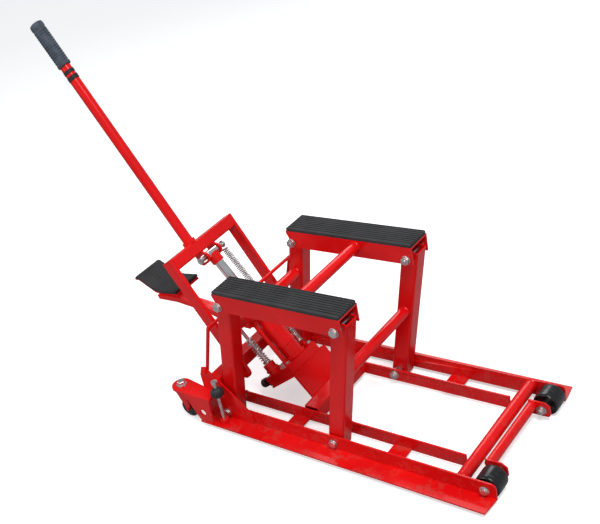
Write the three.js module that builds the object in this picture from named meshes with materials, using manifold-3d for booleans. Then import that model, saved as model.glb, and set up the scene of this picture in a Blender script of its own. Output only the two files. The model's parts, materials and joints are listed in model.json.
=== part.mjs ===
// Hydraulic lift stand for motorcycles and small vehicles: a low wheeled base, four parallel legs,
// two padded saddles, a foot-pumped ram and a link frame through which the ram pulls the legs upright.
// Millimetres, +Z up, +X towards the fixed wheels, right is -Y and left is +Y.

import * as THREE from 'three';
import { mergeVertices } from 'three/addons/utils/BufferGeometryUtils.js';
import Module from 'manifold-3d';

const wasm = await Module();
wasm.setup();

// ---- driving dimensions ----

const GAP = 0.3; // air left between touching pieces
const CENTRE_SHIFT = 127.65; // from the rear lower pivot to the middle of the stand's length
const PIVOT_Z = 28.5;
const LEG_SPACING = 309;
const LEG_LENGTH = 335;
const LEG_LEAN = THREE.MathUtils.degToRad(11.9);
const LEG_SIZE = 40;
const LEG_WALL = 3.5;
const LEG_END = 14; // tube beyond each pivot
const LEG_Y = 145;
const REAR_BRACE_AT = 238; // along the leg from its lower pivot
const FRONT_BRACE_AT = 181;

const RAIL_REAR = -60;
const RAIL_FRONT = 697;
const RAIL_OUTER_Y = 173;
const RAIL_INNER_Y = 103;
const RAIL_BASE_Z = 10;
const RAIL_TOP_Z = 50;
const INNER_TOP_Z = 44;
const INNER_FRONT = 600;
const STEEL = 4; // plate thickness of rails and saddles
const FLANGE_WIDTH = 46;

const SADDLE_REAR = 58;
const SADDLE_FRONT = 394;
const SADDLE_INNER_Y = 111;
const SADDLE_OUTER_Y = 181;
const SADDLE_BOTTOM_Z = 345;
const SADDLE_TOP_Z = 388;
const PAD_TOP_Z = 395;
const SADDLE_TUBE_X = 249;

const WHEEL_X = 672;
const WHEEL_RADIUS = 28;
const WHEEL_WIDTH = 44;
const WHEEL_Y = 143;

const CASTER_X = -125;
const CASTER_Y = 190;
const CASTER_RADIUS = 25;
const CASTER_TRAIL = 14;
const ARM_Z = 84;
const LOCK_SCREW_X = 5;
const LOCK_SCREW_Y = 199;

const LINK_PIN_RADIUS = 96; // from the rear lower pivot to the link frame's pin
const LINK_PIN_ANGLE = THREE.MathUtils.degToRad(70.2);
const LINK_LEAN = THREE.MathUtils.degToRad(29.3);
const LINK_LENGTH = 311.5;
const LINK_BAR = 32;
const LINK_INNER_Y = 110;
const LINK_OUTER_Y = 120;
const HANDLE_Y = -28;
const HANDLE_LENGTH = 646;
const HANDLE_RADIUS = 13;
const GRIP_LENGTH = 112;

const CLEVIS = new THREE.Vector3(-92.5, 0, 369);
const UNIT_LEAN = THREE.MathUtils.degToRad(36.2);
const CLEVIS_SWAY = 16.4; // how far the link frame sways across the ram as it lowers
const PIN_RADIUS = 6;
const RAM_RADIUS = 12;
const CYLINDER_RADIUS = 25;
const CYLINDER_TOP = 149; // distances below the clevis pin, along the ram
const CYLINDER_BOTTOM = 328;
const BLOCK_BOTTOM = 352;
const PUMP = new THREE.Vector2(-50, -44); // across the ram, and along Y
const PEDAL_PIVOT = new THREE.Vector2(25, 212);

const LOCK_FOOT = new THREE.Vector2(-40, 143);
const LOCK_TOP = new THREE.Vector2(4, 276);
const LOCK_RADIUS = 4.5;

// ---- materials ----

const paint = (color) => new THREE.MeshStandardMaterial({ color, roughness: 0.28, metalness: 0.0 });
const finishes = {
  red: () => paint(0xd01414),
  zinc: () => new THREE.MeshStandardMaterial({ color: 0xb9c0c8, roughness: 0.35, metalness: 0.9 }),
  chrome: () => new THREE.MeshStandardMaterial({ color: 0xd9dde0, roughness: 0.12, metalness: 1.0 }),
  rubber: () => new THREE.MeshStandardMaterial({ color: 0x2e2e30, roughness: 0.8, metalness: 0.0 }),
  tyre: () => new THREE.MeshStandardMaterial({ color: 0x141416, roughness: 0.35, metalness: 0.0 }),
  knob: () => new THREE.MeshStandardMaterial({ color: 0x18181a, roughness: 0.5, metalness: 0.0 }),
  grip: () => new THREE.MeshStandardMaterial({ color: 0x3a424e, roughness: 0.75, metalness: 0.0 }),
};

// ---- solids: joining and cutting ----

function toSolid(geometry) {
  const bare = geometry.index ? geometry.toNonIndexed() : geometry.clone();
  bare.deleteAttribute('normal');
  bare.deleteAttribute('uv');
  const merged = mergeVertices(bare, 1e-4);
  return new wasm.Manifold(
    new wasm.Mesh({
      numProp: 3,
      vertProperties: new Float32Array(merged.attributes.position.array),
      triVerts: new Uint32Array(merged.index.array),
    }),
  );
}

function toGeometry(solid) {
  const mesh = solid.getMesh();
  const geometry = new THREE.BufferGeometry();
  geometry.setAttribute('position', new THREE.BufferAttribute(new Float32Array(mesh.vertProperties), 3));
  geometry.setIndex(new THREE.BufferAttribute(new Uint32Array(mesh.triVerts), 1));
  geometry.computeVertexNormals();
  return geometry;
}

function join(...geometries) {
  return toGeometry(geometries.map(toSolid).reduce((whole, next) => whole.add(next)));
}

function cut(base, ...tools) {
  return toGeometry(tools.map(toSolid).reduce((whole, next) => whole.subtract(next), toSolid(base)));
}

// ---- simple shapes ----

function box(x0, x1, y0, y1, z0, z1) {
  const geometry = new THREE.BoxGeometry(x1 - x0, Math.abs(y1 - y0), z1 - z0);
  return geometry.translate((x0 + x1) / 2, (y0 + y1) / 2, (z0 + z1) / 2);
}

function rodY(x, z, radius, y0, y1, sides = 12) {
  const geometry = new THREE.CylinderGeometry(radius, radius, Math.abs(y1 - y0), sides);
  return geometry.translate(x, (y0 + y1) / 2, z);
}

function rodZ(x, y, radius, z0, z1, sides = 12) {
  const geometry = new THREE.CylinderGeometry(radius, radius, z1 - z0, sides);
  return geometry.rotateX(Math.PI / 2).translate(x, y, (z0 + z1) / 2);
}

function rodX(y, z, radius, x0, x1, sides = 12) {
  const geometry = new THREE.CylinderGeometry(radius, radius, x1 - x0, sides);
  return geometry.rotateZ(Math.PI / 2).translate((x0 + x1) / 2, y, z);
}

// A plate outlined in X and Z, between two values of Y.
function plateXZ(points, y0, y1, holes = []) {
  const shape = new THREE.Shape(points.map(([x, z]) => new THREE.Vector2(x, z)));
  holes.forEach((hole) => shape.holes.push(hole));
  const depth = Math.abs(y1 - y0);
  const geometry = new THREE.ExtrudeGeometry(shape, { depth, bevelEnabled: false, curveSegments: 6 });
  return geometry.rotateX(Math.PI / 2).translate(0, Math.max(y0, y1), 0);
}

// A plate outlined in X and Y, between two values of Z.
function plateXY(points, z0, z1) {
  const shape = new THREE.Shape(points.map(([x, y]) => new THREE.Vector2(x, y)));
  const geometry = new THREE.ExtrudeGeometry(shape, { depth: z1 - z0, bevelEnabled: false });
  return geometry.translate(0, 0, z0);
}

function roundedSquare(size, radius) {
  const h = size / 2;
  const shape = new THREE.Shape();
  shape.moveTo(h, -h + radius);
  shape.absarc(h - radius, h - radius, radius, 0, Math.PI / 2);
  shape.absarc(-h + radius, h - radius, radius, Math.PI / 2, Math.PI);
  shape.absarc(-h + radius, -h + radius, radius, Math.PI, 1.5 * Math.PI);
  shape.absarc(h - radius, -h + radius, radius, 1.5 * Math.PI, 2 * Math.PI);
  return shape;
}

// A hollow square tube standing on z0, open at both ends.
function squareTube(size, wall, z0, z1) {
  const shape = roundedSquare(size, 5);
  const inside = size / 2 - wall;
  const corners = [[-1, -1], [1, -1], [1, 1], [-1, 1]].map(([a, b]) => new THREE.Vector2(a * inside, b * inside));
  shape.holes.push(new THREE.Path(corners));
  const settings = { depth: z1 - z0, bevelEnabled: false, curveSegments: 2 };
  return new THREE.ExtrudeGeometry(shape, settings).translate(0, 0, z0);
}

function roundTubeY(x, z, radius, wall, halfLength) {
  const outside = rodY(x, z, radius, -halfLength, halfLength, 16);
  return cut(outside, rodY(x, z, radius - wall, -halfLength - 1, halfLength + 1));
}

function rodBetween(start, end, radius, sides = 12) {
  const along = end.clone().sub(start);
  const geometry = new THREE.CylinderGeometry(radius, radius, along.length(), sides);
  const turn = new THREE.Quaternion().setFromUnitVectors(new THREE.Vector3(0, 1, 0), along.clone().normalize());
  return geometry.applyQuaternion(turn).translate(...start.clone().lerp(end, 0.5).toArray());
}

function ring(profile, sides) {
  return new THREE.LatheGeometry(profile.map(([r, h]) => new THREE.Vector2(r, h)), sides);
}

// ---- scene graph ----

const stand = new THREE.Group();
stand.position.x = -CENTRE_SHIFT;

function group(parent, x, y, z, leanY = 0) {
  const child = new THREE.Group();
  child.position.set(x, y, z);
  child.rotation.y = leanY;
  parent.add(child);
  return child;
}

function piece(parent, name, geometry, finish) {
  const mesh = new THREE.Mesh(geometry, finishes[finish]());
  mesh.name = name;
  parent.add(mesh);
  return mesh;
}

const SIDES = [['right', -1], ['left', 1]];

// A bolt along Y on one side: hexagon head outside, nut inside, collars that centre what it carries.
function sideBolt(side, radius, headAt, nutAt, collars) {
  const parts = [
    rodY(0, 0, radius, side * nutAt, side * headAt),
    rodY(0, 0, radius * 1.75, side * headAt, side * (headAt + 7), 6),
    rodY(0, 0, radius * 1.75, side * (nutAt - 8), side * nutAt, 6),
  ];
  collars.forEach(([from, to]) => parts.push(rodY(0, 0, radius * 1.8, side * from, side * to)));
  return join(...parts);
}

// ---- base ----

const BOLT = 6;
const BOLT_HOLE = BOLT + GAP;
const AXLE = 5;
const PIVOTS_X = [0, LEG_SPACING];

function outerRail(side) {
  const wall = [
    [RAIL_REAR, RAIL_BASE_Z],
    [RAIL_FRONT, RAIL_BASE_Z],
    [RAIL_FRONT, RAIL_TOP_Z - 10],
    [RAIL_FRONT - 3, RAIL_TOP_Z - 3],
    [RAIL_FRONT - 10, RAIL_TOP_Z],
    [RAIL_REAR, RAIL_TOP_Z],
  ];
  const flangeOuter = side * (RAIL_OUTER_Y + FLANGE_WIDTH);
  const flange = [
    [RAIL_REAR, side * (RAIL_OUTER_Y - 1)],
    [RAIL_FRONT, side * (RAIL_OUTER_Y - 1)],
    [RAIL_FRONT - 4, flangeOuter],
    [RAIL_REAR, flangeOuter],
  ];
  const holes = PIVOTS_X.map((x) => rodY(x, PIVOT_Z, BOLT_HOLE, side * 160, side * 180));
  holes.push(rodY(WHEEL_X, WHEEL_RADIUS, AXLE + GAP, side * 160, side * 180));
  holes.push(rodZ(LOCK_SCREW_X, side * LOCK_SCREW_Y, AXLE + GAP, 0, 40));
  return cut(
    join(
      plateXZ(wall, side * (RAIL_OUTER_Y - STEEL), side * RAIL_OUTER_Y),
      plateXY(flange, RAIL_BASE_Z, RAIL_BASE_Z + STEEL),
      rodZ(LOCK_SCREW_X, side * LOCK_SCREW_Y, 11, RAIL_BASE_Z + 1, RAIL_BASE_Z + 17),
    ),
    ...holes,
  );
}

const SPACERS_X = [[151, 195], [425, 469]];

function innerRail(side) {
  const outerFace = side * (RAIL_INNER_Y + STEEL);
  const bar = box(RAIL_REAR, INNER_FRONT, side * RAIL_INNER_Y, outerFace, RAIL_BASE_Z, INNER_TOP_Z);
  const tabEnd = side * (RAIL_OUTER_Y - STEEL - GAP);
  const tabs = SPACERS_X.map(([x0, x1]) =>
    box(x0, x1, outerFace - side, tabEnd, RAIL_BASE_Z, RAIL_BASE_Z + STEEL),
  );
  const holes = PIVOTS_X.map((x) => rodY(x, PIVOT_Z, BOLT_HOLE, side * 95, side * 115));
  return cut(join(bar, ...tabs), ...holes);
}

// Upright gusset outside the rail, with the arm that carries the caster and a web below the arm.
function casterBracket(side) {
  const inner = RAIL_OUTER_Y + GAP;
  const outer = inner + STEEL;
  const floor = RAIL_BASE_Z + STEEL + GAP;
  const gusset = [[RAIL_REAR, floor], [84, floor], [72, RAIL_TOP_Z + 2], [-38, 156], [-50, 154], [RAIL_REAR, 130]];
  const armRound = 26;
  const arm = new THREE.Shape();
  arm.moveTo(-14, side * (inner + 1));
  arm.lineTo(-14, side * 217);
  arm.lineTo(CASTER_X, side * (CASTER_Y + armRound));
  arm.absarc(CASTER_X, side * CASTER_Y, armRound, (side * Math.PI) / 2, (-side * Math.PI) / 2, side < 0);
  arm.lineTo(RAIL_REAR, side * (inner + 1));
  const armPlate = new THREE.ExtrudeGeometry(arm, { depth: 6, bevelEnabled: false, curveSegments: 12 });
  armPlate.translate(0, 0, ARM_Z);
  const webHole = new THREE.Path().absarc(-46, 42, 9, 0, 2 * Math.PI);
  const web = [[-98, ARM_Z + 1], [-60, floor], [-20, floor], [-16, ARM_Z + 1]];
  return cut(
    join(
      plateXZ(gusset, side * inner, side * outer),
      armPlate,
      plateXZ(web, side * 213, side * 217, [webHole]),
    ),
    rodZ(CASTER_X, side * CASTER_Y, 6 + GAP, 70, 100),
    rodY(0, PIVOT_Z, BOLT_HOLE, side * 170, side * 180),
    rodY(LOCK_FOOT.x, LOCK_FOOT.y, LOCK_RADIUS + GAP, side * 170, side * 180),
  );
}

const FRONT_TUBE_X = 620;
const BRIDGE_X = 650;

function frontBridge() {
  const sides = SIDES.map(([, side]) =>
    plateXZ(
      [[642, 18], [648, 12], [688, 12], [692, 20], [690, 40], [678, 48], [642, 48]],
      side * RAIL_INNER_Y,
      side * (RAIL_INNER_Y + STEEL),
    ),
  );
  const holes = SIDES.map(([, side]) => rodY(WHEEL_X, WHEEL_RADIUS, AXLE + GAP, side * 95, side * 115));
  return cut(join(rodY(BRIDGE_X, 34, 11, -104, 104, 20), ...sides), ...holes);
}

SIDES.forEach(([word, side]) => {
  piece(stand, `outer_rail_${word}`, outerRail(side), 'red');
  piece(stand, `inner_rail_${word}`, innerRail(side), 'red');
  piece(stand, `caster_bracket_${word}`, casterBracket(side), 'red');
});

const rearTube = squareTube(36, 3, -RAIL_OUTER_Y, RAIL_OUTER_Y).rotateX(Math.PI / 2);
piece(stand, 'rear_cross_tube', rearTube, 'red').position.set(-28, 0, 105);
piece(stand, 'front_cross_tube', roundTubeY(FRONT_TUBE_X, 36, 14, 3, RAIL_OUTER_Y - STEEL - GAP), 'red');
piece(stand, 'front_bridge', frontBridge(), 'red');

const UNIT_TUBE_X = 205;
const unitTube = squareTube(40, 3, -RAIL_INNER_Y + GAP, RAIL_INNER_Y - GAP).rotateX(Math.PI / 2);
piece(stand, 'unit_cross_tube', unitTube, 'red').position.set(UNIT_TUBE_X, 0, 32);

// ---- wheels, casters and floor screws ----

function wheel(radius, width, bore) {
  const h = width / 2;
  return ring(
    [
      [bore, -h], [radius * 0.8, -h], [radius, -h + 4], [radius, h - 4],
      [radius * 0.8, h], [bore, h], [bore, -h],
    ],
    20,
  );
}

function casterFork(side) {
  const cheek = [
    [-16, -10], [16, -10], [CASTER_TRAIL + 9, CASTER_RADIUS - 76], [CASTER_TRAIL + 5, CASTER_RADIUS - 88],
    [CASTER_TRAIL - 6, CASTER_RADIUS - 88], [CASTER_TRAIL - 10, CASTER_RADIUS - 76],
  ];
  const axleZ = CASTER_RADIUS - (ARM_Z - 3);
  return join(
    rodZ(0, 0, 18, -6, 0),
    plateXZ(cheek.map(([x, z]) => [x, z + 8]), 12.5, 16),
    plateXZ(cheek.map(([x, z]) => [x, z + 8]), -16, -12.5),
    rodY(CASTER_TRAIL, axleZ, 4, -19, 19),
    rodZ(0, 0, 6, -1, 20),
    rodZ(0, 0, 10, 9 + GAP, 19, 6),
  );
}

SIDES.forEach(([word, side]) => {
  const axle = group(stand, WHEEL_X, 0, WHEEL_RADIUS);
  piece(axle, `front_wheel_${word}`, wheel(WHEEL_RADIUS, WHEEL_WIDTH, AXLE + GAP).translate(0, side * WHEEL_Y, 0), 'tyre');
  const wheelEdges = [WHEEL_Y - WHEEL_WIDTH / 2, WHEEL_Y + WHEEL_WIDTH / 2];
  const collars = [[RAIL_INNER_Y + STEEL + GAP, wheelEdges[0] - GAP], [wheelEdges[1] + GAP, RAIL_OUTER_Y - STEEL - GAP]];
  piece(axle, `axle_bolt_${word}`, sideBolt(side, AXLE, RAIL_OUTER_Y + GAP, RAIL_INNER_Y - GAP, collars), 'zinc');

  const caster = group(stand, CASTER_X, side * CASTER_Y, ARM_Z - 3);
  piece(caster, `caster_fork_${word}`, casterFork(side), 'red');
  const tyre = wheel(CASTER_RADIUS, 23, 4 + GAP);
  piece(caster, `caster_wheel_${word}`, tyre, 'tyre').position.set(CASTER_TRAIL, 0, CASTER_RADIUS - (ARM_Z - 3));

  const screw = group(stand, LOCK_SCREW_X, side * LOCK_SCREW_Y, 0);
  const shank = join(rodZ(0, 0, AXLE, 2, 138, 12), rodZ(0, 0, 9, 0, 5), rodZ(0, 0, 9, 134, 142, 6));
  piece(screw, `floor_screw_${word}`, shank, 'zinc');
  const knobProfile = [[AXLE + GAP, -13], [10, -13], [16, -7], [17, 2], [13, 10], [8, 13], [AXLE + GAP, 13], [AXLE + GAP, -13]];
  const knob = ring(knobProfile, 12).rotateX(Math.PI / 2);
  piece(screw, `floor_screw_knob_${word}`, knob, 'knob').position.z = 108;
});

// ---- legs and their pivots ----

function leg(side, extraHole) {
  const tube = squareTube(LEG_SIZE, LEG_WALL, -LEG_END, LEG_LENGTH + LEG_END).translate(0, side * LEG_Y, 0);
  const holes = [0, LEG_LENGTH].map((z) => rodY(0, z, BOLT_HOLE, side * 120, side * 170));
  return cut(tube, ...holes, ...extraHole);
}

const linkPinInLeg = new THREE.Vector2(
  LINK_PIN_RADIUS * Math.sin(Math.PI / 2 - LINK_PIN_ANGLE - LEG_LEAN),
  LINK_PIN_RADIUS * Math.cos(Math.PI / 2 - LINK_PIN_ANGLE - LEG_LEAN),
);
const LEG_INNER_Y = LEG_Y - LEG_SIZE / 2;

SIDES.forEach(([word, side]) => {
  ['rear', 'front'].forEach((end, index) => {
    const foot = group(stand, PIVOTS_X[index], 0, PIVOT_Z, LEG_LEAN);
    const pinHole = rodY(linkPinInLeg.x, linkPinInLeg.y, PIN_RADIUS + GAP, side * 120, side * 145);
    piece(foot, `${end}_leg_${word}`, leg(side, index === 0 ? [pinHole] : []), 'red');

    const lower = group(stand, PIVOTS_X[index], 0, PIVOT_Z);
    const lowerCollars = [
      [RAIL_INNER_Y + STEEL + GAP, LEG_INNER_Y - GAP],
      [LEG_Y + LEG_SIZE / 2 + GAP, RAIL_OUTER_Y - STEEL - GAP],
    ];
    const headAt = index === 0 ? RAIL_OUTER_Y + STEEL + 2 * GAP : RAIL_OUTER_Y + GAP;
    const lowerBolt = sideBolt(side, BOLT, headAt, RAIL_INNER_Y - GAP, lowerCollars);
    piece(lower, `lower_pivot_bolt_${end}_${word}`, lowerBolt, 'zinc');

    const top = group(stand, PIVOTS_X[index] + LEG_LENGTH * Math.sin(LEG_LEAN), 0, PIVOT_Z + LEG_LENGTH * Math.cos(LEG_LEAN));
    const upperCollars = [
      [SADDLE_INNER_Y + STEEL + GAP, LEG_INNER_Y - GAP],
      [LEG_Y + LEG_SIZE / 2 + GAP, SADDLE_OUTER_Y - STEEL - GAP],
    ];
    const upperBolt = sideBolt(side, BOLT, SADDLE_OUTER_Y + GAP, SADDLE_INNER_Y - GAP, upperCollars);
    piece(top, `upper_pivot_bolt_${end}_${word}`, upperBolt, 'zinc');
  });
});

const rearFoot = group(stand, 0, 0, PIVOT_Z, LEG_LEAN);
piece(rearFoot, 'rear_leg_brace', roundTubeY(0, REAR_BRACE_AT, 14, 3, LEG_INNER_Y - GAP), 'red');
const frontFoot = group(stand, LEG_SPACING, 0, PIVOT_Z, LEG_LEAN);
piece(frontFoot, 'front_leg_brace', roundTubeY(0, FRONT_BRACE_AT, 13, 3, LEG_INNER_Y - GAP), 'red');

// ---- saddles ----

function saddle(side) {
  const y = (value) => side * value;
  const middle = (SADDLE_INNER_Y + SADDLE_OUTER_Y) / 2;
  const outside = box(SADDLE_REAR, SADDLE_FRONT, y(SADDLE_INNER_Y), y(SADDLE_OUTER_Y), SADDLE_BOTTOM_Z, SADDLE_TOP_Z);
  const hollow = box(
    SADDLE_REAR - 1, SADDLE_FRONT + 1,
    y(SADDLE_INNER_Y + STEEL), y(SADDLE_OUTER_Y - STEEL),
    SADDLE_BOTTOM_Z - 1, SADDLE_TOP_Z - STEEL,
  );
  const slant = plateXZ(
    [[SADDLE_REAR - 5, SADDLE_BOTTOM_Z - 5], [SADDLE_REAR + 19, SADDLE_BOTTOM_Z - 5], [SADDLE_REAR, SADDLE_TOP_Z - 6], [SADDLE_REAR - 5, SADDLE_TOP_Z - 6]],
    y(middle - 40), y(middle + 40),
  );
  const pivotZ = PIVOT_Z + LEG_LENGTH * Math.cos(LEG_LEAN);
  const holes = PIVOTS_X.map((x) =>
    rodY(x + LEG_LENGTH * Math.sin(LEG_LEAN), pivotZ, BOLT_HOLE, y(middle - 40), y(middle + 40)),
  );
  return cut(outside, hollow, slant, ...holes);
}

function pad(side) {
  const length = SADDLE_FRONT - SADDLE_REAR;
  const width = SADDLE_OUTER_Y - SADDLE_INNER_Y;
  const r = 3;
  const shape = new THREE.Shape();
  shape.moveTo(r, 0).lineTo(length - r, 0).lineTo(length, r).lineTo(length, width - r);
  shape.lineTo(length - r, width).lineTo(r, width).lineTo(0, width - r).lineTo(0, r);
  const depth = PAD_TOP_Z - SADDLE_TOP_Z - GAP;
  const geometry = new THREE.ExtrudeGeometry(shape, { depth, bevelEnabled: false });
  return geometry.translate(SADDLE_REAR, side > 0 ? SADDLE_INNER_Y : -SADDLE_OUTER_Y, SADDLE_TOP_Z + GAP);
}

SIDES.forEach(([word, side]) => {
  piece(stand, `saddle_${word}`, saddle(side), 'red');
  piece(stand, `saddle_pad_${word}`, pad(side), 'rubber');
});
piece(stand, 'saddle_cross_tube', roundTubeY(SADDLE_TUBE_X, 371, 13, 3, SADDLE_INNER_Y - GAP), 'red');

// ---- link frame, handle and safety hooks ----

const linkFoot = group(
  stand,
  LINK_PIN_RADIUS * Math.cos(LINK_PIN_ANGLE), 0, PIVOT_Z + LINK_PIN_RADIUS * Math.sin(LINK_PIN_ANGLE),
  -LINK_LEAN,
);
const linkHalf = LINK_BAR / 2;

function linkBar(side) {
  const bar = box(-linkHalf, linkHalf, side * LINK_INNER_Y, side * LINK_OUTER_Y, 0, LINK_LENGTH + linkHalf);
  const foot = rodY(0, 0, linkHalf, side * LINK_INNER_Y, side * LINK_OUTER_Y, 20);
  const pin = rodY(0, 0, PIN_RADIUS, side * (LINK_INNER_Y + 1), side * 140);
  return join(bar, foot, pin);
}

// Position of the clevis pin in the link frame's own directions.
const clevisInLink = (() => {
  const offset = CLEVIS.clone().sub(linkFoot.position).applyAxisAngle(new THREE.Vector3(0, 1, 0), LINK_LEAN);
  return new THREE.Vector2(offset.x, offset.z);
})();

// The two lugs under the crossbar: the pin's slot runs across the ram, as long as the frame's sway.
function crossbar() {
  const slotAngle = UNIT_LEAN - LINK_LEAN;
  const slotEnd = clevisInLink.clone().add(
    new THREE.Vector2(-Math.cos(slotAngle), -Math.sin(slotAngle)).multiplyScalar(CLEVIS_SWAY),
  );
  const slotRadius = PIN_RADIUS + 2.2;
  const lugRadius = slotRadius + 6;
  const spread = (radius, y0, y1) => {
    const ends = [clevisInLink, slotEnd].map((p) => rodY(p.x, p.y, radius, y0, y1, 20));
    const across = new THREE.Vector2(Math.sin(slotAngle), -Math.cos(slotAngle)).multiplyScalar(radius);
    const middle = plateXZ(
      [
        [clevisInLink.x + across.x, clevisInLink.y + across.y], [clevisInLink.x - across.x, clevisInLink.y - across.y],
        [slotEnd.x - across.x, slotEnd.y - across.y], [slotEnd.x + across.x, slotEnd.y + across.y],
      ],
      y0, y1,
    );
    return join(...ends, middle);
  };
  const lugs = SIDES.map(([, side]) =>
    join(
      spread(lugRadius, side * 20, side * 26),
      box(-linkHalf, linkHalf, side * 20, side * 26, clevisInLink.y, LINK_LENGTH - linkHalf + 2),
    ),
  );
  const slots = SIDES.map(([, side]) => spread(slotRadius, side * 18, side * 28));
  const end = LINK_INNER_Y - GAP;
  const tube = squareTube(LINK_BAR, 3, -end, end).rotateX(Math.PI / 2).translate(0, 0, LINK_LENGTH);
  const socket = rodZ(0, HANDLE_Y, HANDLE_RADIUS + GAP, LINK_LENGTH, LINK_LENGTH + linkHalf + 12, 20);
  const collar = rodZ(0, HANDLE_Y, HANDLE_RADIUS + 4, LINK_LENGTH + linkHalf - 1, LINK_LENGTH + linkHalf + 9, 20);
  return cut(join(tube, collar, ...lugs), socket, ...slots);
}

SIDES.forEach(([word, side]) => piece(linkFoot, `link_bar_${word}`, linkBar(side), 'red'));
piece(linkFoot, 'link_crossbar', crossbar(), 'red');

const handle = group(linkFoot, 0, HANDLE_Y, LINK_LENGTH - linkHalf + 3 + GAP);
piece(handle, 'handle_tube', rodZ(0, 0, HANDLE_RADIUS, 0, HANDLE_LENGTH, 20), 'red');
const gripStart = HANDLE_LENGTH - GRIP_LENGTH;
const gripProfile = [
  [HANDLE_RADIUS + GAP, 0], [HANDLE_RADIUS + 4, 0], [HANDLE_RADIUS + 4, GRIP_LENGTH], [HANDLE_RADIUS - 2, GRIP_LENGTH + 6],
  [0, GRIP_LENGTH + 6], [0, GRIP_LENGTH + GAP], [HANDLE_RADIUS + GAP, GRIP_LENGTH + GAP], [HANDLE_RADIUS + GAP, 0],
];
piece(handle, 'handle_grip', ring(gripProfile, 16).rotateX(Math.PI / 2), 'grip').position.z = gripStart;

// Locking bar: a bent round bar across the stand, held by its two ends in the gussets.
function lockBar() {
  const half = [[LOCK_FOOT.x, 183, LOCK_FOOT.y], [LOCK_FOOT.x, 168, LOCK_FOOT.y], [LOCK_TOP.x, 168, LOCK_TOP.y]];
  const points = [...half, ...half.map(([x, y, z]) => [x, -y, z]).reverse()].map((p) => new THREE.Vector3(...p));
  const parts = points.slice(1).map((end, index) => rodBetween(points[index], end, LOCK_RADIUS));
  const corners = points.slice(1, -1).map((p) => new THREE.SphereGeometry(LOCK_RADIUS, 12, 8).translate(p.x, p.y, p.z));
  return join(...parts, ...corners);
}

piece(stand, 'lock_bar', lockBar(), 'red');

// ---- hydraulic unit: its own +Z points up along the ram, from the clevis pin ----

const unit = group(stand, CLEVIS.x, CLEVIS.y, CLEVIS.z, -UNIT_LEAN);

const ram = join(rodZ(0, 0, RAM_RADIUS, -CYLINDER_TOP - 40, -6, 24), rodY(0, 0, 11, -17, 17, 20), rodZ(0, 0, 15, -28, -2, 20));
piece(unit, 'ram_rod', cut(ram, rodY(0, 0, PIN_RADIUS + GAP, -20, 20, 20)), 'chrome');
const clevisPin = join(
  rodY(0, 0, PIN_RADIUS, -42, 42), rodY(0, 0, 9, -45.6, -41), rodY(0, 0, 9, 41, 45.6),
);
piece(unit, 'clevis_pin', clevisPin, 'zinc');

const boreEnd = CYLINDER_BOTTOM - 20;
const cylinderProfile = [
  [0, -CYLINDER_BOTTOM + GAP], [CYLINDER_RADIUS, -CYLINDER_BOTTOM + GAP], [CYLINDER_RADIUS, -CYLINDER_TOP - 16],
  [CYLINDER_RADIUS - 3, -CYLINDER_TOP - 14], [CYLINDER_RADIUS - 3, -CYLINDER_TOP], [RAM_RADIUS + 0.6, -CYLINDER_TOP],
  [RAM_RADIUS + 0.6, -boreEnd], [0, -boreEnd],
];
piece(unit, 'cylinder', ring(cylinderProfile, 20).rotateX(Math.PI / 2), 'red');

// Casting under the cylinder, with the side rod that carries the pedal's pivot.
const SIDE_ROD = new THREE.Vector2(2, -40);
const pedalInUnit = (() => {
  const offset = new THREE.Vector3(PEDAL_PIVOT.x, 0, PEDAL_PIVOT.y).sub(CLEVIS);
  offset.applyAxisAngle(new THREE.Vector3(0, 1, 0), UNIT_LEAN);
  return new THREE.Vector2(offset.x, offset.z);
})();
const PEDAL_PIN_RADIUS = 4;
const block = cut(
  join(
    box(-76, 30, -62, 50, -BLOCK_BOTTOM, -CYLINDER_BOTTOM),
    rodZ(pedalInUnit.x, SIDE_ROD.y, 5.5, -CYLINDER_BOTTOM - 1, pedalInUnit.y - 6),
    rodY(pedalInUnit.x, pedalInUnit.y, 10, -46, -34),
    box(-4, 14, 33, 39, -CYLINDER_BOTTOM - 1, -CYLINDER_BOTTOM + 16),
  ),
  rodY(pedalInUnit.x, pedalInUnit.y, PEDAL_PIN_RADIUS + GAP, -50, -30),
  rodZ(PUMP.x, PUMP.y, 15 + GAP, -CYLINDER_BOTTOM - 14, -CYLINDER_BOTTOM + 5, 20),
  rodX(-46, -340, 5 + GAP, -90, -66.5),
);
piece(unit, 'base_casting', block, 'red');

// Bent bracket: a seat across the ram and a web down to the cross tube.
const seatFront = new THREE.Vector2(34, -BLOCK_BOTTOM - GAP);
const webFoot = (() => {
  const offset = new THREE.Vector3(UNIT_TUBE_X - 20 - GAP, 0, 48).sub(CLEVIS);
  offset.applyAxisAngle(new THREE.Vector3(0, 1, 0), UNIT_LEAN);
  return new THREE.Vector2(offset.x, offset.z);
})();
const webHeel = (() => {
  const offset = new THREE.Vector3(UNIT_TUBE_X - 20 - GAP, 0, 14).sub(CLEVIS);
  offset.applyAxisAngle(new THREE.Vector3(0, 1, 0), UNIT_LEAN);
  return new THREE.Vector2(offset.x, offset.z);
})();
const bracketOutline = [
  [-70, seatFront.y], [seatFront.x, seatFront.y], [webFoot.x, webFoot.y], [webHeel.x, webHeel.y],
  [webHeel.x - 5, webHeel.y + 3], [webFoot.x - 6, webFoot.y - 6], [seatFront.x - 8, seatFront.y - 6], [-70, seatFront.y - 6],
];
piece(unit, 'unit_bracket', plateXZ(bracketOutline, -66, 66), 'red');

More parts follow.
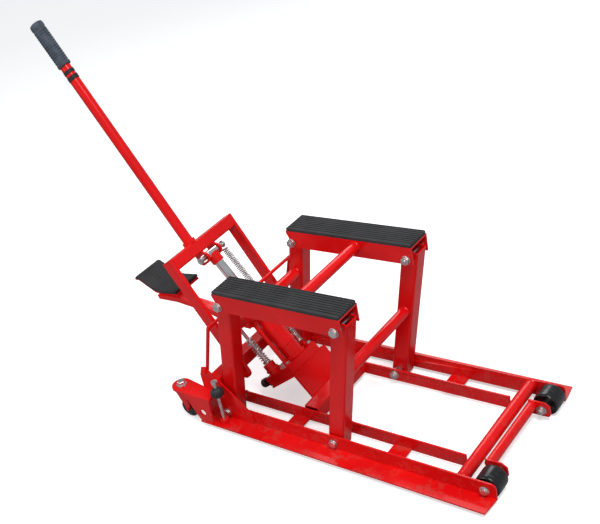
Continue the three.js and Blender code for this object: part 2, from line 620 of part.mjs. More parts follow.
const barrel = cut(
  rodZ(0, 0, 15, -CYLINDER_BOTTOM - 14 + GAP, -300, 20),
  rodZ(0, 0, 6 + GAP, -CYLINDER_BOTTOM - 4, -290, 16),
);
const pump = group(unit, PUMP.x, PUMP.y, 0);
piece(pump, 'pump_barrel', barrel, 'red');
const PLUNGER_TOP = 224;
const plunger = join(rodZ(0, 0, 6, -316, -PLUNGER_TOP + 1), rodZ(0, 0, 11, -PLUNGER_TOP - 7, -PLUNGER_TOP), rodZ(0, 0, 5, -PLUNGER_TOP - 1, -PLUNGER_TOP + 52));
piece(pump, 'pump_plunger', plunger, 'chrome');
const pumpSpring = [[7, -299.5], [10.5, -299.5], [10.5, -PLUNGER_TOP - 7.5], [7, -PLUNGER_TOP - 7.5], [7, -299.5]];
piece(pump, 'pump_spring', ring(pumpSpring, 16).rotateX(Math.PI / 2), 'zinc');

const returnSpring = [[5.5, -308], [8.5, -308], [8.5, -11], [5.5, -11], [5.5, -308]];
piece(unit, 'return_spring', ring(returnSpring, 16).rotateX(Math.PI / 2).translate(5, 36, 0), 'zinc');

const release = join(rodX(-46, -340, 5, -104, -67), rodX(-46, -340, 12, -112, -96, 12));
piece(unit, 'release_knob', release, 'knob');

// ---- pedal ----

const pedal = group(stand, PEDAL_PIVOT.x, 0, PEDAL_PIVOT.y);
const treadTop = [[-372, 66], [-366, 70], [-312, 40], [-280, 38], [-232, 44]];
const treadLift = (dx, dz) => treadTop.map(([x, z]) => [x + dx, z + dz]);
const treadPlate = [...treadTop, ...treadLift(2, -5).reverse()];
const treadPad = [...treadLift(-2, 8), ...treadLift(0, GAP).reverse()];
const armOutline = [[-300, 33], [-232, 38.5], [-130, 29], [-70, 9], [0, 9], [9, 0], [0, -9], [-72, -7], [-134, 13], [-232, 24], [-296, 22]];
const armSolid = join(
  plateXZ(armOutline, -54, -48),
  plateXZ(armOutline, -32.5, -27.5),
  plateXZ(armOutline.slice(0, 3).concat([[-40, 3], [-40, -6]], armOutline.slice(7)), -49, -32),
  rodY(0, 0, PEDAL_PIN_RADIUS, -56, -26),
  plateXZ(treadPlate, -48, 40),
);
piece(pedal, 'pedal_arm', armSolid, 'red');
piece(pedal, 'pedal_pad', plateXZ(treadPad, -50, 42), 'rubber');

export default stand;
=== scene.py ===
import json
import math

import bmesh
import bpy
from mathutils import Matrix, Vector


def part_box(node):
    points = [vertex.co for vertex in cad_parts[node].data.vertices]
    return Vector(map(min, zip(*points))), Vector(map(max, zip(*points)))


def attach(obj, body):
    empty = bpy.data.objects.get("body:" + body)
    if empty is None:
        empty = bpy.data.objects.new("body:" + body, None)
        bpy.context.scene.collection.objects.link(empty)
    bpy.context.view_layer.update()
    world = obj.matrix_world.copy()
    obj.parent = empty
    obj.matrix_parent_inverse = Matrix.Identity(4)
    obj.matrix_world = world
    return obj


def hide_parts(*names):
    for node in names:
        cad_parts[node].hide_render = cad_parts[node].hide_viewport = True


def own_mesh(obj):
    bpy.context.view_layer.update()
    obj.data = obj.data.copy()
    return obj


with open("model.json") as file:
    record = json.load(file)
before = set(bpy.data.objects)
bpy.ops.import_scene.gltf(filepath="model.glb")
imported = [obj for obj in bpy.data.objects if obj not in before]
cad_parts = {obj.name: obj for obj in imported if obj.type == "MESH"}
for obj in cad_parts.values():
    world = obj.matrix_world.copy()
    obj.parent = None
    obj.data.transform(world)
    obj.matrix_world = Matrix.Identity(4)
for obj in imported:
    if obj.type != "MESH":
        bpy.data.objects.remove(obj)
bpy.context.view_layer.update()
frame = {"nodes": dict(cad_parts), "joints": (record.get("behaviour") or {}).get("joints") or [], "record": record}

NODES = frame["nodes"]
SIDES = (("right", -1), ("left", 1))
Y, Z = Vector((0, 1, 0)), Vector((0, 0, 1))


def middle(node):
    low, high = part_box(node)
    return (low + high) / 2


# ---- shader building ----


class Signal:
    """A shader socket that takes part in sums and products."""

    def __init__(self, shader, socket):
        self.shader = shader
        self.socket = socket

    def math(self, operation, *others):
        return self.shader.math(operation, self, *others)

    def __add__(self, other):
        return self.math("ADD", other)

    def __sub__(self, other):
        return self.math("SUBTRACT", other)

    def __rsub__(self, other):
        return self.shader.math("SUBTRACT", other, self)

    def __mul__(self, other):
        return self.math("MULTIPLY", other)

    __radd__ = __add__
    __rmul__ = __mul__

    def above(self, low, high):
        """0 below low, 1 above high, smooth between."""
        node = self.shader.add(
            "ShaderNodeMapRange",
            {"interpolation_type": "SMOOTHSTEP"},
            {"Value": self, "From Min": low, "From Max": high, "To Min": 0.0, "To Max": 1.0},
        )
        return self.shader.out(node, 0)


class Shader:
    """One material: its node tree, and the Principled node at its end."""

    def __init__(self, name, **constants):
        self.material = bpy.data.materials.new(name)
        self.material.use_nodes = True
        self.tree = self.material.node_tree
        self.surface = self.tree.nodes["Principled BSDF"]
        for key, value in constants.items():
            self.surface.inputs[key.replace("_", " ")].default_value = value

    def put(self, socket, value):
        if isinstance(value, Signal):
            self.tree.links.new(value.socket, socket)
        else:
            socket.default_value = value

    def add(self, kind, settings, inputs):
        node = self.tree.nodes.new(kind)
        for key, value in settings.items():
            setattr(node, key, value)
        for key, value in inputs.items():
            self.put(node.inputs[key], value)
        return node

    def out(self, node, key):
        return Signal(self, node.outputs[key])

    def math(self, operation, *values):
        node = self.add("ShaderNodeMath", {"operation": operation}, dict(enumerate(values)))
        return self.out(node, 0)

    def position(self):
        return self.out(self.add("ShaderNodeTexCoord", {}, {}), "Object")

    def height(self):
        split = self.add("ShaderNodeSeparateXYZ", {}, {0: self.position()})
        return self.out(split, 2)

    def stretched(self, x, y, z):
        node = self.add("ShaderNodeMapping", {}, {"Vector": self.position(), "Scale": (x, y, z)})
        return self.out(node, 0)

    def noise(self, scale, detail=3.0, roughness=0.55, at=None):
        inputs = {
            "Vector": at or self.position(), "Scale": scale, "Detail": detail, "Roughness": roughness,
        }
        return self.out(self.add("ShaderNodeTexNoise", {}, inputs), 0)

    def blend(self, share, first, second):
        node = self.add("ShaderNodeMix", {"data_type": "RGBA"}, {0: share, 6: first, 7: second})
        return self.out(node, 2)

    def bump(self, height, strength, distance):
        inputs = {"Height": height, "Strength": strength, "Distance": distance}
        self.put(self.surface.inputs["Normal"], self.out(self.add("ShaderNodeBump", {}, inputs), 0))

    def set(self, **signals):
        for key, value in signals.items():
            self.put(self.surface.inputs[key.replace("_", " ")], value)


def red_paint():
    s = Shader("red_enamel", IOR=1.32, Coat_Roughness=0.05)
    cloud = s.noise(7.0, 4.0)
    drift = s.noise(38.0, 3.0)
    colour = s.blend(cloud.above(0.3, 0.72), (0.72, 0.003, 0.004, 1), (0.86, 0.006, 0.0065, 1))
    dust_height = 1.0 - s.height().above(0.004, 0.07)
    dust = dust_height * drift.above(0.48, 0.7) * 0.3
    colour = s.blend(dust, colour, (0.33, 0.13, 0.1, 1))
    chips = s.noise(210.0, 2.0).above(0.735, 0.75) * s.noise(16.0, 2.0).above(0.56, 0.62)
    colour = s.blend(chips, colour, (0.12, 0.09, 0.085, 1))
    scratches = s.noise(26.0, 5.0, 0.7, s.stretched(1.0, 9.0, 5.0)).above(0.66, 0.72)
    s.set(
        Base_Color=colour,
        Roughness=0.2 + 0.09 * drift + 0.12 * scratches + 0.3 * dust,
        Coat_Weight=0.14 - 0.1 * chips - 0.1 * dust,
    )
    s.bump(0.6 * s.noise(420.0, 2.0) + 0.5 * s.noise(95.0, 2.0) - 2.0 * chips, 0.16, 0.0006)
    return s.material


def pad_rubber():
    s = Shader("pad_rubber", IOR=1.45)
    grain = s.noise(900.0, 3.0, 0.7)
    cloud = s.noise(22.0, 4.0)
    colour = s.blend(cloud.above(0.35, 0.7), (0.02, 0.02, 0.021, 1), (0.036, 0.036, 0.038, 1))
    specks = s.noise(330.0, 2.0).above(0.66, 0.74) * 0.35
    s.set(Base_Color=s.blend(specks, colour, (0.11, 0.105, 0.1, 1)), Roughness=0.62 + 0.2 * cloud)
    s.bump(grain + 0.5 * s.noise(150.0, 2.0), 0.4, 0.0004)
    return s.material


def tyre_rubber():
    s = Shader("wheel_rubber", IOR=1.5)
    scuff = s.noise(60.0, 5.0, 0.7, s.stretched(1.0, 3.5, 1.0)).above(0.52, 0.68)
    colour = s.blend(scuff, (0.008, 0.008, 0.009, 1), (0.032, 0.031, 0.03, 1))
    s.set(Base_Color=colour, Roughness=0.24 + 0.28 * scuff)
    s.bump(s.noise(340.0, 3.0) + 0.8 * scuff, 0.22, 0.0004)
    return s.material


def grip_rubber(name, low, high):
    s = Shader(name, IOR=1.45)
    cloud = s.noise(45.0, 4.0)
    s.set(Base_Color=s.blend(cloud.above(0.35, 0.65), low, high), Roughness=0.5 + 0.25 * cloud)
    s.bump(s.noise(700.0, 3.0, 0.7), 0.35, 0.0004)
    return s.material


def zinc_steel():
    s = Shader("zinc_plate", Metallic=1.0)
    crystal = s.out(s.add("ShaderNodeTexVoronoi", {}, {"Vector": s.position(), "Scale": 260.0}), "Distance")
    cloud = s.noise(80.0, 4.0)
    colour = s.blend(cloud.above(0.35, 0.7), (0.5, 0.51, 0.53, 1), (0.72, 0.71, 0.68, 1))
    s.set(Base_Color=colour, Roughness=0.24 + 0.16 * cloud + 0.08 * crystal)
    s.bump(s.noise(520.0, 3.0) + 0.4 * crystal, 0.15, 0.0003)
    return s.material


def chrome_steel():
    s = Shader("chrome", Metallic=1.0)
    film = s.noise(30.0, 4.0)
    lines = s.noise(160.0, 3.0, 0.6, s.stretched(6.0, 6.0, 0.5))
    s.set(Base_Color=s.blend(film.above(0.4, 0.8), (0.86, 0.87, 0.88, 1), (0.7, 0.69, 0.67, 1)))
    s.set(Roughness=0.06 + 0.1 * film + 0.05 * lines)
    s.bump(lines, 0.05, 0.0002)
    return s.material


def black_plastic():
    s = Shader("black_plastic", IOR=1.46)
    cloud = s.noise(70.0, 4.0)
    s.set(Base_Color=s.blend(cloud, (0.012, 0.012, 0.013, 1), (0.03, 0.03, 0.031, 1)))
    s.set(Roughness=0.36 + 0.2 * cloud)
    s.bump(s.noise(800.0, 2.0), 0.3, 0.0003)
    return s.material


LOOK = {
    "red_paint": red_paint(),
    "pad_rubber": pad_rubber(),
    "tyre_rubber": tyre_rubber(),
    "grip_rubber": grip_rubber("grip_rubber", (0.035, 0.045, 0.062, 1), (0.07, 0.09, 0.12, 1)),
    "zinc_steel": zinc_steel(),
    "chrome": chrome_steel(),
    "black_plastic": black_plastic(),
}
BAND_LOOK = grip_rubber("grip_band", (0.006, 0.006, 0.007, 1), (0.016, 0.016, 0.018, 1))

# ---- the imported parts: paint and softened edges ----

EDGE = 0.0009
SHARP = math.radians(34)

slot_of = {part["node"]: part["material_slot"] for part in frame["record"]["subparts"]}


def soften(obj, width=EDGE, segments=2):
    weld = obj.modifiers.new("weld", "WELD")
    weld.merge_threshold = 1e-5
    bevel = obj.modifiers.new("edges", "BEVEL")
    bevel.width = width
    bevel.segments = segments
    bevel.limit_method = "ANGLE"
    bevel.angle_limit = SHARP
    bevel.use_clamp_overlap = True
    normals = obj.modifiers.new("normals", "WEIGHTED_NORMAL")
    normals.keep_sharp = True


def clear_split_normals(obj):
    with bpy.context.temp_override(object=obj, active_object=obj, selected_objects=[obj]):
        bpy.ops.mesh.customdata_custom_splitnormals_clear()


for node_name, node in NODES.items():
    clear_split_normals(node)
    for polygon in node.data.polygons:
        polygon.use_smooth = True
    node.data.materials.clear()
    node.data.materials.append(LOOK[slot_of[node_name]])
    soften(node)

# ---- building new pieces ----


def piece(name, verts, faces, slot, body, hides=(), edge=0.0, look=None):
    mesh = bpy.data.meshes.new(name)
    mesh.from_pydata([tuple(v) for v in verts], [], faces)
    work = bmesh.new()
    work.from_mesh(mesh)
    bmesh.ops.remove_doubles(work, verts=work.verts, dist=1e-6)
    bmesh.ops.recalc_face_normals(work, faces=work.faces)
    work.to_mesh(mesh)
    work.free()
    for polygon in mesh.polygons:
        polygon.use_smooth = True
    mesh.set_sharp_from_angle(angle=SHARP)
    obj = bpy.data.objects.new(name, mesh)
    bpy.context.scene.collection.objects.link(obj)
    mesh.materials.append(look or LOOK[slot])
    if edge:
        soften(obj, edge)
    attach(obj, body)
    if hides:
        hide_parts(*hides)
    return obj


def turned(axis):
    """Rotation that takes +Z to the axis."""
    return Z.rotation_difference(Vector(axis).normalized()).to_matrix()


def lathe(name, profile, centre, axis, slot, body, hides=(), steps=48, wave=None, look=None):
    """A profile of (radius, height) turned round an axis; wave(angle, index) scales the radius."""
    turn = turned(axis)
    verts = []
    faces = []
    count = len(profile)
    for i in range(steps):
        angle = 2 * math.pi * i / steps
        for k, (radius, height) in enumerate(profile):
            r = radius * (wave(angle, k) if wave else 1.0)
            point = Vector((r * math.cos(angle), r * math.sin(angle), height))
            verts.append(Vector(centre) + turn @ point)
    for i in range(steps):
        j = (i + 1) % steps
        for k in range(count):
            m = (k + 1) % count
            faces.append((i * count + k, j * count + k, j * count + m, i * count + m))
    return piece(name, verts, faces, slot, body, hides, look=look)


def sweep(points, radius, sides=10):
    """A round bar through the points, closed at both ends."""
    verts = []
    faces = []
    last = len(points) - 1
    normal = None
    for i, point in enumerate(points):
        along = (points[min(i + 1, last)] - points[max(i - 1, 0)]).normalized()
        if normal is None:
            normal = along.orthogonal().normalized()
        normal = (normal - along * normal.dot(along)).normalized()
        other = along.cross(normal)
        for k in range(sides):
            angle = 2 * math.pi * k / sides
            verts.append(point + radius * (math.cos(angle) * normal + math.sin(angle) * other))
    for i in range(last):
        for k in range(sides):
            m = (k + 1) % sides
            a, b = i * sides, (i + 1) * sides
            faces.append((a + k, a + m, b + m, b + k))
    faces.append(tuple(range(sides))[::-1])
    faces.append(tuple(last * sides + k for k in range(sides)))
    return verts, faces


END_TURNS = 1.5  # wound close at each end of a spring
END_PITCH = 1.6  # in wire radii
STEPS_PER_TURN = 18


def coil(name, bottom, top, radius, wire, turns, body, hides):
    """A compression spring with closed end turns, between two points on its axis."""
    axis = top - bottom
    length = axis.length
    turn = turned(axis)
    total = turns + 2 * END_TURNS
    steps = int(total * STEPS_PER_TURN)
    start = wire + END_TURNS * wire * END_PITCH
    points = []
    for i in range(steps + 1):
        t = total * i / steps
        if t < END_TURNS:
            height = wire + t * wire * END_PITCH
        elif t > total - END_TURNS:
            height = length - wire - (total - t) * wire * END_PITCH
        else:
            height = start + (t - END_TURNS) / turns * (length - 2 * start)
        angle = 2 * math.pi * t
        points.append(bottom + turn @ Vector((radius * math.cos(angle), radius * math.sin(angle), height)))
    verts, faces = sweep(points, wire, 8)
    return piece(name, verts, faces, "zinc_steel", body, hides)


def bead(name, centre, axis, radius, thick, body):
    """A weld bead round a tube's end, with the ripples that a run of weld leaves."""
    turn = turned(axis)
    steps, sides = 72, 6
    verts = []
    faces = []
    for i in range(steps):
        angle = 2 * math.pi * i / steps
        ripple = thick * (1.0 + 0.16 * math.sin(angle * 24) + 0.08 * math.sin(angle * 5 + radius * 900))
        for k in range(sides):
            b = 2 * math.pi * k / sides
            r = radius + ripple * math.cos(b)
            point = Vector((r * math.cos(angle), r * math.sin(angle), ripple * math.sin(b)))
            verts.append(Vector(centre) + turn @ point)
    for i in range(steps):
        j = (i + 1) % steps
        for k in range(sides):
            m = (k + 1) % sides
            faces.append((i * sides + k, j * sides + k, j * sides + m, i * sides + m))
    return piece(name, verts, faces, "red_paint", body)


def prism(name, outline, y0, y1, slot, body, hides=(), edge=0.0006):
    """An outline in X and Z, between two values of Y."""
    count = len(outline)
    verts = [Vector((x, y, z)) for y in (y0, y1) for x, z in outline]
    faces = [tuple(range(count)), tuple(range(2 * count - 1, count - 1, -1))]
    faces += [(k, (k + 1) % count, count + (k + 1) % count, count + k) for k in range(count)]
    return piece(name, verts, faces, slot, body, hides, edge)


# ---- saddle pads: a slab with ribs that run lengthwise ----

RIBS = 8
RIB_SHARE = 0.66
GROOVE = 0.0032


def ribbed_pad(side):
    low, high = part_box(f"saddle_pad_{side}")
    width = high.y - low.y
    margin = 0.0035
    pitch = (width - 2 * margin) / RIBS
    corner = 0.005
    floor = high.z - GROOVE
    section = [(low.y, low.z), (low.y, high.z - 0.0015), (low.y + 0.001, floor + GROOVE * 0.9)]
    for i in range(RIBS):
        start = low.y + margin + i * pitch
        section += [
            (start + 0.0006, high.z), (start + pitch * RIB_SHARE, high.z),
            (start + pitch * RIB_SHARE + 0.0005, floor), (start + pitch - 0.0004, floor),
        ]
    section += [(high.y - 0.0028, high.z), (high.y - 0.001, high.z)]
    section += [(high.y, high.z - 0.0015), (high.y, low.z)]
    rounding = [(0.0, corner * 0.9, 0.0016), (corner * 0.3, corner * 0.3, 0.0006), (corner, 0.0, 0.0)]
    stations = [(low.x + inset, pinch, drop) for inset, pinch, drop in rounding]
    stations += [(high.x - inset, pinch, drop) for inset, pinch, drop in reversed(rounding)]
    verts = []
    for x, pinch, drop in stations:
        for y, z in section:
            verts.append(Vector((x, min(max(y, low.y + pinch), high.y - pinch), max(z - drop, low.z))))
    count = len(section)
    faces = []
    for i in range(len(stations) - 1):
        a, b = i * count, (i + 1) * count
        for k in range(count):
            m = (k + 1) % count
            faces.append((a + k, a + m, b + m, b + k))
    faces.append(tuple(range(count))[::-1])
    faces.append(tuple((len(stations) - 1) * count + k for k in range(count)))
    piece(f"saddle_pad_ribbed_{side}", verts, faces, "pad_rubber", "saddle_frame", [f"saddle_pad_{side}"])


for word, _ in SIDES:
    ribbed_pad(word)

# ---- wheels ----


def wheel(name, node, body):
    low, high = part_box(node)
    radius = (high.z - low.z) / 2
    half = (high.y - low.y) / 2
    hub = radius * 0.42
    bore = radius * 0.2
    profile = [
        (bore, -half * 0.97), (hub, -half * 0.97), (hub * 1.05, -half * 0.86), (radius * 0.78, -half * 0.86),
        (radius * 0.84, -half * 0.98), (radius * 0.9, -half),
        (radius * 0.96, -half * 0.95), (radius * 0.99, -half * 0.86),
        (radius, -half * 0.7), (radius, half * 0.7), (radius * 0.99, half * 0.86), (radius * 0.96, half * 0.95),
        (radius * 0.9, half), (radius * 0.84, half * 0.98),
        (radius * 0.78, half * 0.86), (hub * 1.05, half * 0.86),
        (hub, half * 0.97), (bore, half * 0.97),
    ]
    lathe(name, profile, (low + high) / 2, Y, "tyre_rubber", body, [node], 64)


for word, _ in SIDES:
    wheel(f"front_roller_{word}", f"front_wheel_{word}", f"front_wheel_{word}")
    wheel(f"caster_roller_{word}", f"caster_wheel_{word}", f"caster_wheel_{word}")

# ---- springs ----

joint = {j["name"]: j for j in frame["joints"]}
DOWN = Vector(joint["ram_slide"]["axis"]).normalized()
ACROSS = Vector((-DOWN.z, 0, DOWN.x))


def span_of(node):
    """Ends of a sleeve that lies along the ram, and its outer radius."""
    low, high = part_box(node)
    radius = (high.y - low.y) / 2
    centre = (low + high) / 2
    length = ((high.z - low.z) - 2 * radius * abs(DOWN.x)) / abs(DOWN.z)
    return centre + DOWN * length / 2, centre - DOWN * length / 2, radius


bottom, top, outer = span_of("return_spring")
coil_piece = coil("return_coil", bottom, top, outer - 0.0012, 0.0011, 62, "base", ["return_spring"])
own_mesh(coil_piece)
bottom, top, outer = span_of("pump_spring")
coil_piece = coil("pump_coil", bottom, top, outer - 0.0016, 0.0016, 8, "base", ["pump_spring"])
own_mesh(coil_piece)

# ---- handle grip: a ribbed rubber sleeve with a dark band below it ----

handle_axis = Vector(joint["handle_pull"]["axis"]).normalized()


def handle_grip():
    low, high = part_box("handle_grip")
    centre = (low + high) / 2
    radius = (high.y - low.y) / 2
    length = ((high.z - low.z) - 2 * radius * abs(handle_axis.x)) / handle_axis.z
    start = centre - handle_axis * length / 2
    inner = radius - 0.0036
    profile = [(inner, 0.0), (radius * 0.96, 0.0), (radius, 0.0015), (radius, 0.007), (radius * 0.94, 0.009)]
    rings = 14
    step = (length - 0.03) / rings
    for i in range(rings):
        base = 0.011 + i * step
        profile += [(radius * 0.93, base)]
        profile += [(radius * 0.985, base + step * 0.3), (radius * 0.985, base + step * 0.65)]
    profile += [
        (radius * 0.93, length - 0.017), (radius, length - 0.013),
        (radius, length - 0.006), (radius * 0.93, length - 0.002),
        (radius * 0.7, length), (0.0002, length), (0.0002, length - 0.004), (inner, length - 0.004),
    ]
    lathe("grip_sleeve", profile, start, handle_axis, "grip_rubber", "handle", ["handle_grip"], 40)
    tube = radius - 0.004
    for index, (offset, size) in enumerate(((0.012, 0.009), (0.027, 0.011))):
        band = [(tube, 0.0), (tube + 0.001, 0.0005), (tube + 0.001, size - 0.0005), (tube, size)]
        lathe(
            f"grip_band_{index}", band, start - handle_axis * (offset + size), handle_axis,
            "black_plastic", "handle", steps=40, look=BAND_LOOK,
        )


handle_grip()

# ---- pedal pad: a curved tread with ribs across it ----


def tread():
    low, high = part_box("pedal_pad")
    depth = 0.0075
    curve = [(0.0, 0.024), (0.010, 0.0285), (0.055, 0.004), (0.065, 0.0006), (0.092, -0.0018), (0.140, 0.0042)]
    span = high.x - low.x
    path = [Vector((low.x + 0.002 + u * (span - 0.004) / 0.14, 0, v)) for u, v in curve]
    lift = high.z - max(p.z for p in path) - 0.0012
    path = [p + Vector((0, 0, lift)) for p in path]
    points = []
    for a, b in zip(path, path[1:]):
        steps = max(2, int((b - a).length / 0.0022))
        points += [a.lerp(b, k / steps) for k in range(steps)]
    points.append(path[-1])
    verts = []
    for i, p in enumerate(points):
        rib = 0.0011 if (i // 2) % 2 else 0.0
        for y, drop in ((low.y, 0.0022), (low.y + 0.004, 0.0), (high.y - 0.004, 0.0), (high.y, 0.0022)):
            verts.append(Vector((p.x, y, p.z + rib - drop)))
        verts.append(Vector((p.x, high.y, p.z - depth)))
        verts.append(Vector((p.x, low.y, p.z - depth)))
    faces = []
    for i in range(len(points) - 1):
        for k in range(6):
            m = (k + 1) % 6
            faces.append((i * 6 + k, i * 6 + m, (i + 1) * 6 + m, (i + 1) * 6 + k))
    faces.append(tuple(range(6))[::-1])
    faces.append(tuple((len(points) - 1) * 6 + k for k in range(6)))
    piece("pedal_tread", verts, faces, "pad_rubber", "pedal", ["pedal_pad"])


tread()

# ---- knobs ----


def ridged(angle, index):
    return 1.0 + 0.05 * math.cos(angle * 12)


for word, _ in SIDES:
    low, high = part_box(f"floor_screw_knob_{word}")
    r = (high.x - low.x) / 2 * 0.95
    h = (high.z - low.z) / 2
    profile = [
        (0.0056, -h), (r * 0.56, -h), (r * 0.62, -h * 0.92), (r * 0.9, -h * 0.6), (r, -h * 0.35), (r, h * 0.2),
        (r * 0.9, h * 0.5), (r * 0.68, h * 0.78), (r * 0.56, h * 0.96), (r * 0.5, h), (0.0056, h),
    ]
    lathe(
        f"knob_{word}", profile, (low + high) / 2, Z, "black_plastic", f"floor_screw_{word}",
        [f"floor_screw_knob_{word}"], 72, ridged,
    )

# ---- washers under bolt heads and nuts, and the bolts' ends ----

WASHER = [(0.0064, 0.0), (0.0106, 0.0), (0.0112, 0.0004), (0.0112, 0.0010), (0.0106, 0.0014), (0.0064, 0.0014)]
STUD = [(0.0002, -0.001), (0.0052, -0.001), (0.0052, 0.0008), (0.0046, 0.0016), (0.0002, 0.0018)]
HEAD = 0.007
NUT = 0.008


def washers(node, name, body):
    low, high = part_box(node)
    centre = (low + high) / 2
    outward = 1 if centre.y > 0 else -1
    outer = high.y if outward > 0 else low.y
    inner = low.y if outward > 0 else high.y
    for label, y, way in (("head", outer - outward * HEAD, outward), ("nut", inner + outward * NUT, -outward)):
        start = Vector((centre.x, y, centre.z))
        lathe(f"{name}_{label}_washer", WASHER, start, Vector((0, way, 0)), "zinc_steel", body, steps=32)
    end = Vector((centre.x, inner, centre.z))
    lathe(f"{name}_stud", STUD, end, Vector((0, -outward, 0)), "zinc_steel", body, steps=24)


for word, _ in SIDES:
    for place in ("front", "rear"):
        washers(f"lower_pivot_bolt_{place}_{word}", f"lower_{place}_{word}", "base")
        washers(f"upper_pivot_bolt_{place}_{word}", f"upper_{place}_{word}", "saddle_frame")
    washers(f"axle_bolt_{word}", f"axle_{word}", "base")

# ---- hydraulic unit: painted rod head, gland, collars, casting bosses and bolts ----

CLEVIS = middle("clevis_pin")
UP = -DOWN


def on_unit(across, y, along):
    """A point given across the ram, along Y and down the ram from the clevis pin."""
    return CLEVIS + ACROSS * across + Y * y + DOWN * along


def hexagon(name, centre, axis, size, height, slot, body):
    points = [(0.0002, 0.0), (size, 0.0), (size, height * 0.8), (size * 0.88, height), (0.0002, height)]
    return lathe(name, points, centre, axis, slot, body, steps=6)


def ring_of(inner, outer, height, chamfer=0.001):
    return [
        (inner, 0.0), (outer - chamfer, 0.0), (outer, chamfer), (outer, height - chamfer),
        (outer - chamfer, height), (inner, height),
    ]


lathe("rod_head_paint", ring_of(0.0148, 0.0156, 0.027, 0.0005), on_unit(0, 0, 0.0285), UP, "red_paint", "ram")
GLAND = ring_of(0.0134, 0.0205, 0.007, 0.0015)
lathe("gland_nut", GLAND, on_unit(0, 0, 0.1505), UP, "red_paint", "base", steps=8)
lathe("gland_lip", ring_of(0.0126, 0.0148, 0.003, 0.0008), on_unit(0, 0, 0.1455), UP, "black_plastic", "base")
lathe("cylinder_foot", ring_of(0.0245, 0.0305, 0.010, 0.002), on_unit(0, 0, 0.3285), UP, "red_paint", "base")
lathe("cylinder_band", ring_of(0.0247, 0.0262, 0.012, 0.0008), on_unit(0, 0, 0.29), UP, "red_paint", "base")
PUMP_FOOT = on_unit(-0.050, -0.044, 0.322)
lathe("pump_collar", ring_of(0.0146, 0.0176, 0.007, 0.0015), PUMP_FOOT, UP, "red_paint", "base", steps=6)
BOSS = [(0.0002, -0.001), (0.0088, -0.001), (0.0082, 0.004), (0.0002, 0.004)]
BOSSES_AT = ((0.021, -0.05), (0.021, 0.04), (-0.066, -0.018), (-0.066, 0.04), (-0.03, 0.036))
for index, (across, y) in enumerate(BOSSES_AT):
    lathe(f"casting_boss_{index}", BOSS, on_unit(across, y, 0.328), UP, "red_paint", "base", steps=28)
    hexagon(f"casting_bolt_{index}", on_unit(across, y, 0.3242), UP, 0.006, 0.0045, "zinc_steel", "base")
hexagon("filler_plug", on_unit(-0.0755, 0.02, 0.339), -ACROSS, 0.007, 0.006, "zinc_steel", "base")
CASTER_NUT = [
    (0.0062, 0.0), (0.0106, 0.0), (0.0106, 0.0086), (0.0092, 0.0100),
    (0.0002, 0.0100), (0.0002, 0.0094), (0.0062, 0.0094),
]
CASTER_WASHER = [(0.0063, 0.0), (0.0135, 0.0), (0.0135, 0.0014), (0.0063, 0.0014)]
for word, _ in SIDES:
    owner = f"caster_fork_{word}"
    low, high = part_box(owner)
    base = Vector((joint[f"caster_swivel_{word}"]["pos_m"][0], (low.y + high.y) / 2, high.z - 0.0098))
    lathe(f"caster_nut_{word}", CASTER_NUT, base, Z, "zinc_steel", owner, steps=6)
    lathe(f"caster_washer_{word}", CASTER_WASHER, base - Z * 0.0012, Z, "zinc_steel", owner, steps=32)

# ---- weld beads ----

TUBES = (
    ("front_cross_tube", "base"),
    ("rear_leg_brace", "rear_legs"),
    ("front_leg_brace", "front_legs"),
    ("saddle_cross_tube", "saddle_frame"),
)
for tube_name, owner in TUBES:
    low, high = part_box(tube_name)
    centre = (low + high) / 2
    tube_radius = (high.z - low.z) / 2
    for word, sign in SIDES:
        end = Vector((centre.x, high.y if sign > 0 else low.y, centre.z)) - Y * sign * 0.0012
        bead(f"bead_{tube_name}_{word}", end, Y, tube_radius, 0.0017, owner)

# ---- camera, light and floor ----

camera_data = bpy.data.cameras.new("camera")
camera = bpy.data.objects.new("camera", camera_data)
bpy.context.scene.collection.objects.link(camera)
bpy.context.scene.camera = camera
AZIMUTH, ELEVATION, ROLL = math.radians(49.56), math.radians(33.68), math.radians(-17.12)
back = Vector(
    (math.sin(AZIMUTH) * math.cos(ELEVATION), -math.cos(AZIMUTH) * math.cos(ELEVATION), math.sin(ELEVATION))
)
right = Z.cross(back).normalized()
up = back.cross(right)
rolled_right = math.cos(ROLL) * right + math.sin(ROLL) * up
rolled_up = -math.sin(ROLL) * right + math.cos(ROLL) * up
place = Matrix((rolled_right, rolled_up, back)).transposed().to_4x4()
place.translation = Vector((1.22345, -1.3903, 1.3798))
camera.matrix_world = place
camera_data.lens = 54.59
camera_data.sensor_width = 36.0
camera_data.shift_x = 0.173
camera_data.shift_y = 0.1835


def area(name, at, target, size, power, colour=(1, 1, 1)):
    data = bpy.data.lights.new(name, "AREA")
    data.shape = "DISK"
    data.size = size
    data.energy = power
    data.color = colour
    obj = bpy.data.objects.new(name, data)
    bpy.context.scene.collection.objects.link(obj)
    obj.location = at
    direction = Vector(target) - Vector(at)
    obj.rotation_mode = "QUATERNION"
    obj.rotation_quaternion = direction.to_track_quat("-Z", "Y")


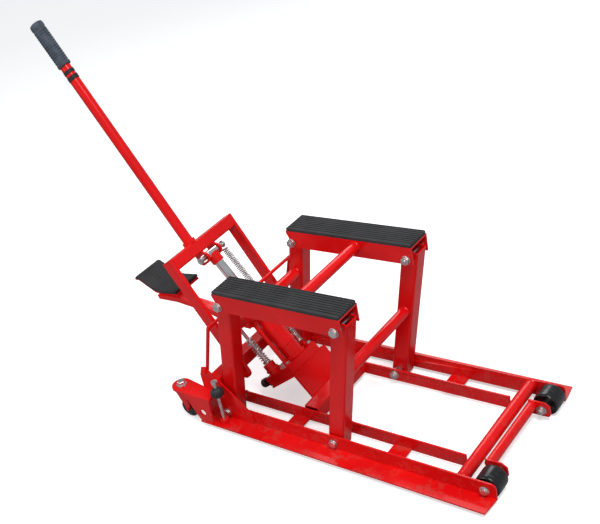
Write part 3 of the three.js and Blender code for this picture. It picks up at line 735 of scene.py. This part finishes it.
AIM = (0.0, 0.0, 0.25)
area("key", (1.2, -0.6, 2.8), AIM, 1.1, 52)
area("fill", (-1.6, -2.4, 1.6), AIM, 2.0, 20)
area("rim", (-1.2, 2.4, 2.2), AIM, 1.6, 22)

world = bpy.data.worlds.new("studio")
bpy.context.scene.world = world
world.use_nodes = True
sky = world.node_tree
light_path = sky.nodes.new("ShaderNodeLightPath")
mix = sky.nodes.new("ShaderNodeMixShader")
soft = sky.nodes["Background"]
soft.inputs["Color"].default_value = (0.92, 0.95, 1.0, 1)
soft.inputs["Strength"].default_value = 0.4
plain = sky.nodes.new("ShaderNodeBackground")
plain.inputs["Color"].default_value = (1, 1, 1, 1)
plain.inputs["Strength"].default_value = 1.0
sky.links.new(light_path.outputs["Is Camera Ray"], mix.inputs[0])
sky.links.new(soft.outputs[0], mix.inputs[1])
sky.links.new(plain.outputs[0], mix.inputs[2])
sky.links.new(mix.outputs[0], sky.nodes["World Output"].inputs["Surface"])


def floor():
    s = Shader("floor", IOR=1.3, Emission_Strength=0.52)
    cloud = s.noise(3.0, 2.0)
    s.set(Base_Color=s.blend(cloud, (0.9, 0.9, 0.9, 1), (0.93, 0.93, 0.93, 1)), Roughness=0.85 + 0.1 * cloud)
    s.surface.inputs["Emission Color"].default_value = (1, 1, 1, 1)
    bounce = s.add("ShaderNodeBsdfDiffuse", {}, {"Color": (0.42, 0.42, 0.43, 1)})
    seen = s.out(s.add("ShaderNodeLightPath", {}, {}), "Is Camera Ray")
    split = s.add("ShaderNodeMixShader", {}, {0: seen})
    s.tree.links.new(bounce.outputs[0], split.inputs[1])
    s.tree.links.new(s.surface.outputs[0], split.inputs[2])
    s.tree.links.new(split.outputs[0], s.tree.nodes["Material Output"].inputs["Surface"])
    mesh = bpy.data.meshes.new("floor")
    size = 9.0
    corners = [(-size, -size, 0), (size, -size, 0), (size, size, 0), (-size, size, 0)]
    mesh.from_pydata(corners, [], [(0, 1, 2, 3)])
    mesh.materials.append(s.material)
    obj = bpy.data.objects.new("floor", mesh)
    bpy.context.scene.collection.objects.link(obj)
    obj.location.z = -0.0005


floor()
bpy.context.scene.view_settings.view_transform = "Standard"
